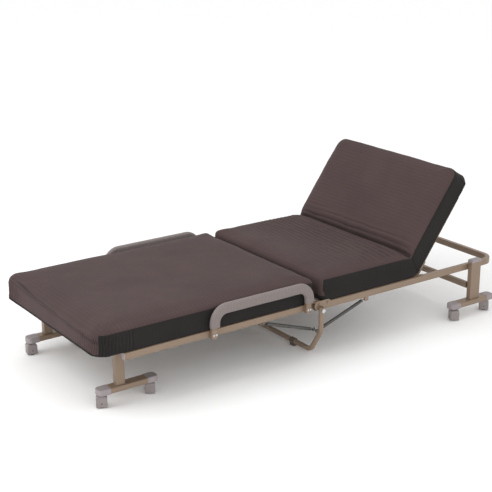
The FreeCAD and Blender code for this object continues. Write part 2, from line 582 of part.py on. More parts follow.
LEG_CROSS_HEAD_X = HEAD_PIVOT_X - 2.0
LEG_CROSS_LOW = 130.0
LEG_CROSS_TOP = 157.0
CROSS_HOLE_R = 4.0
hole_start = Vector(LEG_CROSS_HEAD_X - 4, -120, (LEG_CROSS_LOW + LEG_CROSS_TOP) / 2)
cross = bar(LEG_CROSS_HEAD_X - CROSS_SIDE, LEG_CROSS_HEAD_X, -HEAD_POST_IN, HEAD_POST_IN,
            LEG_CROSS_LOW, LEG_CROSS_TOP, Y)
cross = cross.cut(rod(CROSS_HOLE_R, hole_start, hole_start + X * 9))
save("head_leg_cross_tube", cross)

tube, caps = t_bar(HEAD_PIVOT_X, HEAD_BAR_HALF, -HEAD_BAR_Y)
save("head_leg_bars", both(tube))
save("head_leg_end_caps", both(caps[0]) + both(caps[1]))

# Eight casters, each left pointing its own way; near side heading, then far side
HEADINGS = {
    "foot_outer": (153.0, 170.0), "foot_inner": (63.0, 80.0),
    "head_inner": (-117.0, 117.0), "head_outer": (135.0, -135.0),
}
stations = {
    "foot_outer": (foot_bar_x - FOOT_BAR_HALF + CASTER_INSET, FOOT_BAR_Y),
    "foot_inner": (foot_bar_x + FOOT_BAR_HALF - CASTER_INSET, FOOT_BAR_Y),
    "head_inner": (HEAD_PIVOT_X - HEAD_BAR_HALF + CASTER_INSET, HEAD_BAR_Y),
    "head_outer": (HEAD_PIVOT_X + HEAD_BAR_HALF - CASTER_INSET, HEAD_BAR_Y),
}
for place, (x, y) in stations.items():
    for side_name, way, heading in zip(("near", "far"), (-1, 1), HEADINGS[place]):
        hood, wheels = caster(x, way * y, heading)
        save("caster_hood_" + place + "_" + side_name, hood)
        save("caster_wheels_" + place + "_" + side_name, wheels)
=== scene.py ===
import json
import math

import bmesh
import bpy
import numpy as np
from mathutils import Matrix, Vector, noise


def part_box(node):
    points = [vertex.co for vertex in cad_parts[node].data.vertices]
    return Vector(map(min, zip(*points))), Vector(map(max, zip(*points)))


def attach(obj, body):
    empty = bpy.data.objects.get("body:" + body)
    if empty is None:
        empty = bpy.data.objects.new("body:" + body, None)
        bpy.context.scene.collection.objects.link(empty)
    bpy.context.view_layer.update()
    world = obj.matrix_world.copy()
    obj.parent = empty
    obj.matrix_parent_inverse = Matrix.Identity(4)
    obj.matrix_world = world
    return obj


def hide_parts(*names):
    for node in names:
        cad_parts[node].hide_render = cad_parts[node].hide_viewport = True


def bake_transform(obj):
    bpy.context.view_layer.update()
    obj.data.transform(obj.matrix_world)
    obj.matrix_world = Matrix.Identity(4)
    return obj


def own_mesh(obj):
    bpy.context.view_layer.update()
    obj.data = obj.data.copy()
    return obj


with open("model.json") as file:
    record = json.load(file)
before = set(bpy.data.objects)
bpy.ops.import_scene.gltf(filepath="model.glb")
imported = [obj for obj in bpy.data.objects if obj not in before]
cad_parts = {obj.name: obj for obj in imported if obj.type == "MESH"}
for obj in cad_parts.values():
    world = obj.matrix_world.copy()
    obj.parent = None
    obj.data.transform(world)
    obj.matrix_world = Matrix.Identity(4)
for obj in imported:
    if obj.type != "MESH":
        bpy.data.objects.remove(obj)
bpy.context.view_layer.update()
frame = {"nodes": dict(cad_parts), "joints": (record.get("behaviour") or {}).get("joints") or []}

# Studio. A matt white sweep, one broad softbox overhead towards the foot, a weaker one on the near side,
# and a long-lens camera low off the near foot corner.
CAMERA_AT = Vector((-2.818, -3.850, 1.960))
LOOKS_ROUND = math.radians(54.574)    # heading from +X towards +Y
LOOKS_DOWN = math.radians(18.319)
LENS_MM = 82.93
FLOOR_HALF = 30.0


def srgb(code):
    """A colour written as sRGB hex, as the linear values that shaders take."""
    parts = [int(code[i:i + 2], 16) / 255 for i in (1, 3, 5)]
    return tuple(c / 12.92 if c <= 0.04045 else ((c + 0.055) / 1.055) ** 2.4 for c in parts) + (1.0,)


def material(name, **shader_inputs):
    """A new material and its main shader, with that shader's plain numbers and colours set."""
    made = bpy.data.materials.new(name)
    made.use_nodes = True
    shader = made.node_tree.nodes["Principled BSDF"]
    for socket, value in shader_inputs.items():
        shader.inputs[socket.replace("_", " ")].default_value = value
    return made, shader


def add(mat, kind, links, values=None, **settings):
    """Adds one node: what its inputs are linked to, the values of the others, and its settings."""
    made = mat.node_tree.nodes.new("ShaderNode" + kind)
    for name, value in settings.items():
        setattr(made, name, value)
    for socket, value in (values or {}).items():
        made.inputs[socket].default_value = value
    for socket, source in links.items():
        mat.node_tree.links.new(source, made.inputs[socket])
    return made


def join(mat, source, shader, socket):
    mat.node_tree.links.new(source, shader.inputs[socket])


def piece(name, bm, mat=None, smooth=True):
    """Closes a bmesh into a named object, shaded smooth."""
    mesh = bpy.data.meshes.new(name)
    bm.to_mesh(mesh)
    bm.free()
    mesh.polygons.foreach_set("use_smooth", [smooth] * len(mesh.polygons))
    made = bpy.data.objects.new(name, mesh)
    bpy.context.scene.collection.objects.link(made)
    if mat:
        mesh.materials.append(mat)
    return made


sweep_paper, sweep_shader = material("matt_sweep_paper", Roughness=0.95, Base_Color=srgb("#fcfcfc"))
grain = add(sweep_paper, "TexNoise", {"Vector": add(sweep_paper, "TexCoord", {}).outputs["Object"]},
            {"Scale": 400.0})
join(sweep_paper,
     add(sweep_paper, "Bump", {"Height": grain.outputs[0]},
         {"Strength": 0.05, "Distance": 0.0005}).outputs[0],
     sweep_shader, "Normal")
bm = bmesh.new()
bmesh.ops.create_grid(bm, x_segments=2, y_segments=2, size=FLOOR_HALF)
floor = piece("studio_floor", bm, sweep_paper)


def softbox(name, at, aim, size, watts):
    lamp = bpy.data.lights.new(name, "AREA")
    lamp.shape = "SQUARE"
    lamp.size = size
    lamp.energy = watts
    holder = bpy.data.objects.new(name, lamp)
    bpy.context.scene.collection.objects.link(holder)
    holder.location = at
    holder.rotation_mode = "QUATERNION"
    holder.rotation_quaternion = (Vector(aim) - Vector(at)).to_track_quat("-Z", "Y")
    return holder


softbox("overhead_softbox", (-3.4, 0.6, 3.4), (0.0, 0.0, 0.2), 2.6, 60.0)
softbox("near_softbox", (-1.6, -4.0, 2.2), (0.0, 0.0, 0.2), 2.4, 24.0)
world = bpy.data.worlds.new("studio_white")
bpy.context.scene.world = world
world.use_nodes = True
world.node_tree.nodes["Background"].inputs["Color"].default_value = srgb("#ffffff")
world.node_tree.nodes["Background"].inputs["Strength"].default_value = 1.02
bpy.context.scene.view_settings.view_transform = "Standard"

camera = bpy.data.objects.new("camera", bpy.data.cameras.new("camera"))
bpy.context.scene.collection.objects.link(camera)
camera.data.lens = LENS_MM
camera.data.sensor_width = 36.0
camera.location = CAMERA_AT
sight = Vector((math.cos(LOOKS_DOWN) * math.cos(LOOKS_ROUND), math.cos(LOOKS_DOWN) * math.sin(LOOKS_ROUND),
                -math.sin(LOOKS_DOWN)))
camera.rotation_mode = "QUATERNION"
camera.rotation_quaternion = sight.to_track_quat("-Z", "Y")
bpy.context.scene.camera = camera

# Frame tubes, T-leg bars, posts and the bent centre leg: mild steel tube, welded, then powder coated in one
# champagne beige. The coat is satin, with faint orange peel and a few rubbed, paler spots.
PEEL_MM = 2.2             # orange peel is finer than this, and drawn coarser to show
RUB_MM = 45.0


def paint(names, mat):
    """Gives CAD nodes a better finish than their flat one."""
    for name in names:
        for held in frame["nodes"][name].material_slots:
            held.material = mat


powder_coat, shader = material("satin_powder_coated_steel", Roughness=0.42, Metallic=0.15, IOR=1.5)
place = add(powder_coat, "TexCoord", {}).outputs["Object"]
cloudy = add(powder_coat, "TexNoise", {"Vector": place}, {"Scale": 1000 / 120, "Detail": 3.0})
tone = add(powder_coat, "Mix", {0: cloudy.outputs[0]}, {6: srgb("#7f6c5b"), 7: srgb("#8d7966")},
           data_type="RGBA")
rub = add(powder_coat, "TexNoise", {"Vector": place},
          {"Scale": 1000 / RUB_MM, "Detail": 6.0, "Roughness": 0.7})
rubbed = add(powder_coat, "MapRange", {0: rub.outputs[0]}, {1: 0.63, 2: 0.75, 3: 0.0, 4: 0.35})
tone = add(powder_coat, "Mix", {0: rubbed.outputs[0], 6: tone.outputs[2]}, {7: srgb("#b3a18e")},
           data_type="RGBA")
join(powder_coat, tone.outputs[2], shader, "Base Color")
gloss = add(powder_coat, "MapRange", {0: rub.outputs[0]}, {1: 0.3, 2: 0.8, 3: 0.36, 4: 0.52})
join(powder_coat, gloss.outputs[0], shader, "Roughness")
peel = add(powder_coat, "TexNoise", {"Vector": place}, {"Scale": 1000 / PEEL_MM, "Detail": 2.0})
join(powder_coat,
     add(powder_coat, "Bump", {"Height": peel.outputs[0]},
         {"Strength": 0.25, "Distance": 0.0002}).outputs[0],
     shader, "Normal")
paint(["foot_leg_posts", "foot_leg_cross_tube", "foot_leg_bars", "foot_rails", "foot_pivot_tube",
       "foot_cross_tubes",
       "foot_spring_tabs", "handle_feet", "centre_leg_tube", "head_rails", "head_end_tube",
       "head_cross_tubes",
       "hinge_plates", "head_spring_tabs", "recliner_fixed_plates", "recliner_moving_plates",
       "back_side_tubes",
       "back_cross_tubes", "head_leg_posts", "head_leg_cross_tube", "head_leg_bars"], powder_coat)

# Slats and the panel under the foot cushion: cold-rolled strip, powder coated in the frame's colour before
# the cushions go on. The coat is drawn duller than the tubes', and painted darker and browner as painted
# shade under the cushions.
WEAR_MM = 30.0

shaded_strip_coat, shader = material("powder_coated_steel_strip_painted_shade", Roughness=0.5, Metallic=0.1, IOR=1.5)
place = add(shaded_strip_coat, "TexCoord", {}).outputs["Object"]
wear = add(shaded_strip_coat, "TexNoise", {"Vector": place}, {"Scale": 1000 / WEAR_MM, "Detail": 4.0})
# Both tones are the beige coat painted darker: painted shade under the cushions.
tone = add(shaded_strip_coat, "Mix", {0: wear.outputs[0]}, {6: srgb("#665848"), 7: srgb("#776756")},
           data_type="RGBA")
join(shaded_strip_coat, tone.outputs[2], shader, "Base Color")
gloss = add(shaded_strip_coat, "MapRange", {0: wear.outputs[0]}, {1: 0.3, 2: 0.7, 3: 0.42, 4: 0.6})
join(shaded_strip_coat, gloss.outputs[0], shader, "Roughness")
paint(["foot_slats", "foot_end_panel", "seat_slats", "back_slats"], shaded_strip_coat)

# End caps, post caps and rail plugs: injection-moulded polypropylene in a warm lilac grey, pressed into or
# over the tube ends. The mould's spark-eroded grain makes it matt.
GRAIN_MM = 1.6            # the moulded grain is about 0.3 mm, and drawn coarser to show

moulded_grey, shader = material("spark_grained_polypropylene", Roughness=0.58, IOR=1.49)
place = add(moulded_grey, "TexCoord", {}).outputs["Object"]
cloudy = add(moulded_grey, "TexNoise", {"Vector": place}, {"Scale": 1000 / 35, "Detail": 4.0})
tone = add(moulded_grey, "Mix", {0: cloudy.outputs[0]}, {6: srgb("#8b8283"), 7: srgb("#999091")},
           data_type="RGBA")
join(moulded_grey, tone.outputs[2], shader, "Base Color")
pits = add(moulded_grey, "TexNoise", {"Vector": place}, {"Scale": 1000 / GRAIN_MM, "Detail": 3.0})
join(moulded_grey,
     add(moulded_grey, "Bump", {"Height": pits.outputs[0]},
         {"Strength": 0.35, "Distance": 0.0003}).outputs[0],
     shader, "Normal")
paint(["foot_leg_end_caps", "head_leg_end_caps", "head_post_caps", "foot_rail_plugs"], moulded_grey)

# Pivot bushes: turned natural nylon, waxy and slightly translucent, pressed into the posts.
TURNING_MM = 0.8

nylon, shader = material("turned_natural_nylon", Roughness=0.45, IOR=1.53, Subsurface_Weight=0.15,
                         Subsurface_Scale=0.004)
place = add(nylon, "TexCoord", {}).outputs["Object"]
cloudy = add(nylon, "TexNoise", {"Vector": place}, {"Scale": 1000 / 12, "Detail": 2.0})
tone = add(nylon, "Mix", {0: cloudy.outputs[0]}, {6: srgb("#cfc9ba"), 7: srgb("#ddd8cc")}, data_type="RGBA")
join(nylon, tone.outputs[2], shader, "Base Color")
tooling = add(nylon, "TexNoise", {"Vector": place}, {"Scale": 1000 / TURNING_MM})
join(nylon,
     add(nylon, "Bump", {"Height": tooling.outputs[0]}, {"Strength": 0.2, "Distance": 0.0001}).outputs[0],
     shader, "Normal")
paint(["foot_leg_bushes", "head_leg_bushes"], nylon)

# Hinge bolts, handle bolts and pins: turned steel with a bright zinc plate, satin where the tool has passed.
zinc, shader = material("bright_zinc_plated_steel", Metallic=1.0)
place = add(zinc, "TexCoord", {}).outputs["Object"]
film = add(zinc, "TexNoise", {"Vector": place}, {"Scale": 1000 / 6, "Detail": 4.0})
tone = add(zinc, "Mix", {0: film.outputs[0]}, {6: srgb("#b4b6b8"), 7: srgb("#d2d2d0")}, data_type="RGBA")
join(zinc, tone.outputs[2], shader, "Base Color")
gloss = add(zinc, "MapRange", {0: film.outputs[0]}, {1: 0.3, 2: 0.7, 3: 0.24, 4: 0.4})
join(zinc, gloss.outputs[0], shader, "Roughness")
turned = add(zinc, "TexNoise", {"Vector": place}, {"Scale": 1000 / TURNING_MM})
join(zinc,
     add(zinc, "Bump", {"Height": turned.outputs[0]}, {"Strength": 0.15, "Distance": 0.0001}).outputs[0],
     shader, "Normal")
paint(["hinge_bolts", "handle_bolts", "knee_pins", "head_pivot_pins"], zinc)

# Grip tubes inside the handle sleeves: bare drawn steel, dulled by a thin oil film.
bare_steel, shader = material("oiled_drawn_steel", Metallic=1.0, Roughness=0.4)
place = add(bare_steel, "TexCoord", {}).outputs["Object"]
along = add(bare_steel, "Mapping", {"Vector": place}, {"Scale": (1000 / 60, 1000 / 1.2, 1000 / 1.2)})
drawn = add(bare_steel, "TexNoise", {"Vector": along.outputs[0]}, {"Scale": 1.0, "Detail": 3.0})
tone = add(bare_steel, "Mix", {0: drawn.outputs[0]}, {6: srgb("#6f6e6c"), 7: srgb("#8d8b88")},
           data_type="RGBA")
join(bare_steel, tone.outputs[2], shader, "Base Color")
paint(["handle_grip_tubes"], bare_steel)

# Feet on the centre leg's crossbar: moulded brown-black rubber clips with a dusty bloom.
rubber, shader = material("moulded_brown_rubber", Roughness=0.82, IOR=1.52)
place = add(rubber, "TexCoord", {}).outputs["Object"]
bloom = add(rubber, "TexNoise", {"Vector": place}, {"Scale": 1000 / 18, "Detail": 5.0})
tone = add(rubber, "Mix", {0: bloom.outputs[0]}, {6: srgb("#4f463f"), 7: srgb("#65594f")}, data_type="RGBA")
join(rubber, tone.outputs[2], shader, "Base Color")
pores = add(rubber, "TexNoise", {"Vector": place}, {"Scale": 1000 / 1.4})
join(rubber,
     add(rubber, "Bump", {"Height": pores.outputs[0]}, {"Strength": 0.4, "Distance": 0.0003}).outputs[0],
     shader, "Normal")
paint(["centre_leg_feet"], rubber)

# Foot cushion: a foam slab in a sewn polyester cover. The top and the foot face are one mauve-brown panel
# with faint woven bands, the long sides a charcoal border that is partly a darker side cloth and partly
# painted shade; the foot corners are gathered up to a vertical side seam, and the gathered top cloth between
# the corner and that seam takes the dark colour as painted shade.
VOXEL = 0.009
SWELL = 0.007             # how far the filling may push the cover out
FILL_PRESSURE = 4.0
FILL_STEPS = 20
SAG = 0.0022              # slow unevenness of the foam, and the finer pucker of the cloth over it
PUCKER = 0.0007
PLEAT_PITCH = 0.0145      # gathered pleats round the foot corners
PLEAT_DEEP = 0.0048
BORDER_TAPE = 0.020       # height of the dark strip along the bottom of the sides
FOOT_SEAM_DROP = 0.021    # the foot face's double seam: below the top, its slant, and its second row
FOOT_SEAM_SLANT = 0.04
FOOT_SEAM_TWIN = 0.0085
EDGE = 0.014
LOW_EDGE = 0.005          # the cover turns under the foam almost square
CORNER = 0.060
SEAM_CORNER = 0.030
BAND_MM = 17.0            # pitch of the woven bands
THREAD_MM = 2.6           # threads are about 0.4 mm, and drawn coarser to show
CROWN = 0.016             # the top is this much higher in the middle than at its rims
CROWN_REACH = 0.035
GATHER_REACH = 0.148      # from the corner to the vertical seam on the long side

foot_low, foot_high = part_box("foot_cushion")
HALF_WIDE = foot_high.y + 0.003
FOOT_OVERHANG = 0.006     # the filling carries the foot face out past its base
THICK = foot_high.z - foot_low.z


def apply_modifiers(cover):
    graph = bpy.context.evaluated_depsgraph_get()
    shaped = bpy.data.meshes.new_from_object(cover.evaluated_get(graph))
    cover.modifiers.clear()
    cover.data = shaped


def places(mesh):
    found = np.empty(len(mesh.vertices) * 3)
    mesh.vertices.foreach_get("co", found)
    return found.reshape(-1, 3)


def normals(mesh):
    found = np.empty(len(mesh.vertices) * 3)
    mesh.vertex_normals.foreach_get("vector", found)
    return found.reshape(-1, 3)


def put(mesh, points):
    mesh.vertices.foreach_set("co", points.reshape(-1))
    mesh.update()


def fill(cover, underside):
    """Remeshes a cover, blows it up as cloth on its held underside by SWELL at most, and smooths it."""
    remesh = cover.modifiers.new("even_cloth", "REMESH")
    remesh.mode = "VOXEL"
    remesh.voxel_size = VOXEL
    apply_modifiers(cover)
    start = places(cover.data)
    held = cover.vertex_groups.new(name="held")
    held.add([int(i) for i in np.nonzero(underside(start))[0]], 1.0, "REPLACE")
    cloth = cover.modifiers.new("filling", "CLOTH")
    cloth.settings.use_pressure = True
    cloth.settings.uniform_pressure_force = FILL_PRESSURE
    cloth.settings.effector_weights.gravity = 0.0
    cloth.settings.vertex_group_mass = "held"
    cloth.settings.quality = 4
    for step in range(1, FILL_STEPS + 1):
        bpy.context.scene.frame_set(step)
    graph = bpy.context.evaluated_depsgraph_get()
    shift = places(cover.evaluated_get(graph).data) - start
    far = np.linalg.norm(shift, axis=1, keepdims=True)
    cover.modifiers.clear()
    cover.vertex_groups.clear()
    bpy.context.scene.frame_set(1)
    put(cover.data, start + shift * np.minimum(1.0, SWELL / np.maximum(far, 1e-9)))
    finer = cover.modifiers.new("finer", "SUBSURF")
    finer.levels = finer.render_levels = 1
    apply_modifiers(cover)


def ease(values, low, high):
    """0 below low, 1 above high, and smooth between."""
    t = np.clip((values - low) / (high - low), 0.0, 1.0)
    return t * t * (3 - 2 * t)


def drift(points, size, seed=0.0):
    """Smooth noise from about -1 to 1 at each point, with bumps of about that size in metres."""
    return np.array([noise.noise(Vector(p) / size + Vector((seed, seed, seed))) for p in points])


def outline(x, y, foot_x, head_x, foot_corner, head_corner):
    """Distance outside a cushion's plan, negative inside, with rounded corners."""
    corner = np.where(x < (foot_x + head_x) / 2, foot_corner, head_corner)
    across = np.abs(y) - (HALF_WIDE - corner)
    along = np.maximum(foot_x - x, x - head_x) + corner
    outside = np.hypot(np.maximum(across, 0), np.maximum(along, 0))
    return outside + np.minimum(np.maximum(across, along), 0) - corner


def crown(out_of_plan, height):
    """How far the filling lifts a cover's top: full in the middle and falling to nothing at its rims."""
    return CROWN * (1 - np.exp(np.minimum(out_of_plan, 0) / CROWN_REACH)) * ease(height, THICK * 0.45,
                                                                                 THICK)


def mark(mesh, name, values):
    """Stores a value, or three, at each point of a cover for its material."""
    kind = "FLOAT" if values.ndim == 1 else "FLOAT_VECTOR"
    stored = mesh.attributes.new(name, kind, "POINT")
    stored.data.foreach_set("value" if kind == "FLOAT" else "vector", values.reshape(-1).astype(np.float32))


def slab(name, foot_x, head_x, foot_corner, head_corner, bend=None):
    """A sewn cover before it is filled: a box with rounded corners and rims, drawn in by the swell."""
    bm = bmesh.new()
    bmesh.ops.create_cube(bm, size=1.0)
    size = (head_x - foot_x - 2 * SWELL, 2 * (HALF_WIDE - SWELL), THICK - SWELL)
    bmesh.ops.scale(bm, vec=size, verts=bm.verts)
    bmesh.ops.translate(bm, vec=((foot_x + head_x) / 2, 0, foot_low.z + size[2] / 2), verts=bm.verts)
    for end_x, corner in ((foot_x, foot_corner), (head_x, head_corner)):
        upright = [e for e in bm.edges if abs(e.verts[0].co.z - e.verts[1].co.z) > THICK / 2
                   and abs(e.verts[0].co.x - end_x) < 2 * SWELL]
        bmesh.ops.bevel(bm, geom=upright, offset=corner, segments=8, profile=0.5, affect="EDGES",
                        material=-1)
    rims = [e for e in bm.edges if e.calc_face_angle() > 1.2]
    low_rims = [e for e in rims if e.verts[0].co.z < foot_low.z + 0.001
                and e.verts[1].co.z < foot_low.z + 0.001]
    top_rims = [e for e in rims if e not in low_rims]
    bmesh.ops.bevel(bm, geom=top_rims, offset=EDGE, segments=4, profile=0.5, affect="EDGES", material=-1)
    low_rims = [e for e in low_rims if e.is_valid]
    bmesh.ops.bevel(bm, geom=low_rims, offset=LOW_EDGE, segments=3, profile=0.5, affect="EDGES",
                    material=-1)
    if bend:
        bend(bm)
    return piece(name, bm)


woven, shader = material("woven_polyester_cover", Roughness=0.88, IOR=1.45, Specular_IOR_Level=0.22,
                         Sheen_Weight=0.03, Sheen_Roughness=0.5)
lie = add(woven, "Attribute", {}, attribute_name="lie").outputs["Vector"]
split = add(woven, "SeparateXYZ", {0: lie})
depth = add(woven, "Attribute", {}, attribute_name="dark_border_and_side_shade").outputs["Fac"]
sewn = add(woven, "Attribute", {}, attribute_name="sewn").outputs["Fac"]
turn = 2 * math.pi
warp = add(woven, "Math", {0: split.outputs[0]}, {1: turn * 1000 / THREAD_MM}, operation="MULTIPLY")
warp = add(woven, "Math", {0: warp.outputs[0]}, operation="SINE")
weft = add(woven, "Math", {0: split.outputs[1]}, {1: turn * 1000 / THREAD_MM}, operation="MULTIPLY")
weft = add(woven, "Math", {0: weft.outputs[0]}, operation="SINE")
rise = add(woven, "Math", {0: split.outputs[2]}, {1: turn * 1000 / THREAD_MM}, operation="MULTIPLY")
rise = add(woven, "Math", {0: rise.outputs[0]}, operation="SINE")
cross = add(woven, "Math", {0: warp.outputs[0], 1: weft.outputs[0]}, operation="MULTIPLY")
cross = add(woven, "Math", {0: cross.outputs[0], 1: rise.outputs[0]}, operation="ADD")
wander = add(woven, "TexNoise", {"Vector": lie}, {"Scale": 1000 / 260, "Detail": 2.0})
wander = add(woven, "Math", {0: wander.outputs[0]}, {1: 4.0}, operation="MULTIPLY")
bands = add(woven, "Math", {0: split.outputs[0]}, {1: turn * 1000 / BAND_MM}, operation="MULTIPLY")
bands = add(woven, "Math", {0: bands.outputs[0], 1: wander.outputs[0]}, operation="ADD")
bands = add(woven, "Math", {0: bands.outputs[0]}, operation="SINE")
mottle = add(woven, "TexNoise", {"Vector": lie}, {"Scale": 1000 / 150, "Detail": 4.0})
light = add(woven, "MapRange", {0: bands.outputs[0]}, {1: -1.0, 2: 1.0, 3: -0.10, 4: 0.10})
light = add(woven, "Math", {0: light.outputs[0], 1: mottle.outputs[0]}, operation="ADD")
top = add(woven, "Mix", {0: light.outputs[0]}, {6: srgb("#433535"), 7: srgb("#514241")}, data_type="RGBA")
# The charcoal side tones: partly the side cloth's own colour, partly painted shade of the long sides.
side = add(woven, "Mix", {0: mottle.outputs[0]}, {6: srgb("#201d1d"), 7: srgb("#292525")}, data_type="RGBA")
inside = add(woven, "MapRange", {0: depth}, {1: 0.0, 2: 0.0015, 3: 0.0, 4: 1.0})
cloth_tone = add(woven, "Mix", {0: inside.outputs[0], 6: top.outputs[2], 7: side.outputs[2]},
                 data_type="RGBA")
thread = add(woven, "MapRange", {0: sewn}, {1: 0.0008, 2: 0.0032, 3: 0.55, 4: 0.0})
cloth_tone = add(woven, "Mix", {0: thread.outputs[0], 6: cloth_tone.outputs[2]}, {7: srgb("#1e1b1c")},
                 data_type="RGBA")
# Painted shade: the ripple valleys and the fold crease are darkened towards near-black by their depth.
painted_crease_shade = add(woven, "Attribute", {}, attribute_name="painted_crease_shade").outputs["Fac"]
shade = add(woven, "MapRange", {0: painted_crease_shade}, {1: 0.001, 2: 0.008, 3: 0.0, 4: 0.45})
cloth_tone = add(woven, "Mix", {0: shade.outputs[0], 6: cloth_tone.outputs[2]}, {7: srgb("#211c1d")},
                 data_type="RGBA")
join(woven, cloth_tone.outputs[2], shader, "Base Color")
nap = add(woven, "MapRange", {0: cross.outputs[0]}, {1: -2.0, 2: 2.0, 3: 0.0, 4: 0.00025})
ribs = add(woven, "MapRange", {0: bands.outputs[0]}, {1: -1.0, 2: 1.0, 3: 0.0, 4: 0.0005})
pull = add(woven, "MapRange", {0: sewn}, {1: 0.0, 2: 0.005, 3: -0.0015, 4: 0.0})
relief = add(woven, "Math", {0: nap.outputs[0], 1: ribs.outputs[0]}, operation="ADD")
relief = add(woven, "Math", {0: relief.outputs[0], 1: pull.outputs[0]}, operation="ADD")
join(woven,
     add(woven, "Bump", {"Height": relief.outputs[0]}, {"Strength": 0.7, "Distance": 1.0}).outputs[0],
     shader, "Normal")

foot_cover = slab("foot_cushion_cover", foot_low.x - FOOT_OVERHANG, foot_high.x, CORNER, SEAM_CORNER)
fill(foot_cover, lambda points: points[:, 2] < foot_low.z + 0.004)
points, facing = places(foot_cover.data), normals(foot_cover.data)
height = points[:, 2] - foot_low.z
round_corner = (points[:, 0] - foot_low.x) - (HALF_WIDE - np.abs(points[:, 1]))
sideways = ease(1 - np.abs(facing[:, 2]), 0.3, 0.8)
out_of_plan = outline(points[:, 0], points[:, 1], foot_low.x, foot_high.x, CORNER, SEAM_CORNER)
# The dark border mask: partly the charcoal side cloth, partly painted shade of the long sides.
dark_border_and_side_shade = np.maximum(out_of_plan + EDGE - (height - THICK + EDGE), BORDER_TAPE - height)
on_foot_face = (round_corner < 0) & (points[:, 0] < foot_low.x + 0.2)
# The foot face keeps the top's colour up to the corner turn; past it the gathered top cloth up to the side
# seam is painted dark as painted shade.
dark_border_and_side_shade = np.where(on_foot_face, np.minimum(dark_border_and_side_shade, round_corner + 0.004), dark_border_and_side_shade)
dark_border_and_side_shade = np.where(height < 0.012, 0.02, dark_border_and_side_shade)
side_seam = np.abs(round_corner - GATHER_REACH) + ease(height, THICK - 0.02, THICK) * 0.05
foot_seam_high = THICK - FOOT_SEAM_DROP + FOOT_SEAM_SLANT * points[:, 1]
foot_line = np.minimum(np.abs(height - foot_seam_high), np.abs(height - foot_seam_high + FOOT_SEAM_TWIN))
foot_line = foot_line + ease(points[:, 0], foot_low.x + 0.02, foot_low.x + 0.04) * 0.05
sewn_near = np.minimum(np.minimum(side_seam, foot_line), np.abs(dark_border_and_side_shade) + 0.0006)
mark(foot_cover.data, "lie", np.column_stack((points[:, 0], points[:, 1], height)))
mark(foot_cover.data, "dark_border_and_side_shade", dark_border_and_side_shade)
mark(foot_cover.data, "sewn", np.minimum(sewn_near, 0.05))
wobble = drift(points, 0.045, 3.0)
gathered = ease(round_corner, -0.24,
                -0.06) * (1 - ease(round_corner, GATHER_REACH - 0.01, GATHER_REACH + 0.004))
gathered = gathered * sideways * (1 - ease(height, THICK * 0.62, THICK * 0.97))
folds = np.abs(np.sin(math.pi * round_corner / PLEAT_PITCH + 1.6 * wobble)) - 0.6
sag = drift(points, 0.16, 7.0) * SAG + drift(points, 0.05, 1.0) * PUCKER
seam_pull = -0.0022 * np.exp(-(side_seam / 0.005) ** 2)
seam_pull = seam_pull - 0.0014 * np.exp(-(foot_line / 0.006) ** 2) * sideways
moves = gathered * folds * PLEAT_DEEP + sag * (1 - ease(-facing[:, 2], 0.5, 0.9)) + seam_pull
points[:, 2] += crown(out_of_plan, height)
put(foot_cover.data, points + facing * moves[:, None])
foot_cover.data.materials.append(woven)
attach(foot_cover, "foot_frame")
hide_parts("foot_cushion")

# Head cushion: one slab over the seat and the backrest, of the same cover. It folds at the recliner's axis,
# where the spare cloth and foam gather into ripples across the seat that fade up the back.
seat_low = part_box("seat_cushion")[0]
recline = next(j for j in frame["joints"] if j["name"] == "recline")
PIVOT = Vector(recline["pos_m"])
REST = -math.radians(recline["range_deg"][0])
BACK_LONG = 0.514         # from the recline axis to the head end
RIPPLE = 0.027
SEAT_RIPPLE_DEEP = 0.0078
BACK_RIPPLE_DEEP = 0.0050
RIPPLE_FAN = 0.16         # the ripples lie closer on one side than on the other
CREASE_DEEP = 0.010
FLARE = 0.019             # the seat's foot spreads out over the rails
up_back = Vector((math.cos(REST), 0, math.sin(REST)))
off_back = Vector((-math.sin(REST), 0, math.cos(REST)))
halfway = Vector((math.cos(REST / 2), 0, math.sin(REST / 2)))
lean = math.tan(REST / 2)


def fold_up(bm):
    """Folds a flat cover at the recline axis; the slice there leans halfway and the rest turns up."""
    cut = bmesh.ops.bisect_plane(bm, geom=bm.verts[:] + bm.edges[:] + bm.faces[:], plane_co=PIVOT,
                                 plane_no=(1, 0, 0))
    on_cut = {v for v in cut["geom_cut"] if isinstance(v, bmesh.types.BMVert)}
    beyond = [v for v in bm.verts if v.co.x > PIVOT.x + 1e-5 and v not in on_cut]
    bmesh.ops.rotate(bm, verts=beyond, cent=PIVOT, matrix=Matrix.Rotation(-REST, 3, "Y"))
    for v in on_cut:
        v.co.x -= (v.co.z - PIVOT.z) * lean


head_cover = slab("head_cushion_cover", seat_low.x, PIVOT.x + BACK_LONG, SEAM_CORNER, CORNER, fold_up)
fill(head_cover,
     lambda p: (p[:, 2] < seat_low.z + 0.004) | (((p - np.array(PIVOT)) @ np.array(off_back) < 0.017)
                                                          & (p[:, 0] > PIVOT.x)))
points, facing = places(head_cover.data), normals(head_cover.data)
from_axis = points - np.array(PIVOT)
on_back = from_axis @ np.array(halfway) > 0
above = np.where(on_back, from_axis @ np.array(off_back), from_axis[:, 2])
height = above - (seat_low.z - PIVOT.z)
run = np.where(on_back, from_axis @ np.array(up_back), from_axis[:, 0])
from_crease = run + np.where(on_back, -1.0, 1.0) * above * lean
upward = np.where(on_back, facing @ np.array(off_back), facing[:, 2])
out_of_plan = outline(run + PIVOT.x, points[:, 1], seat_low.x, PIVOT.x + BACK_LONG, SEAM_CORNER, CORNER)
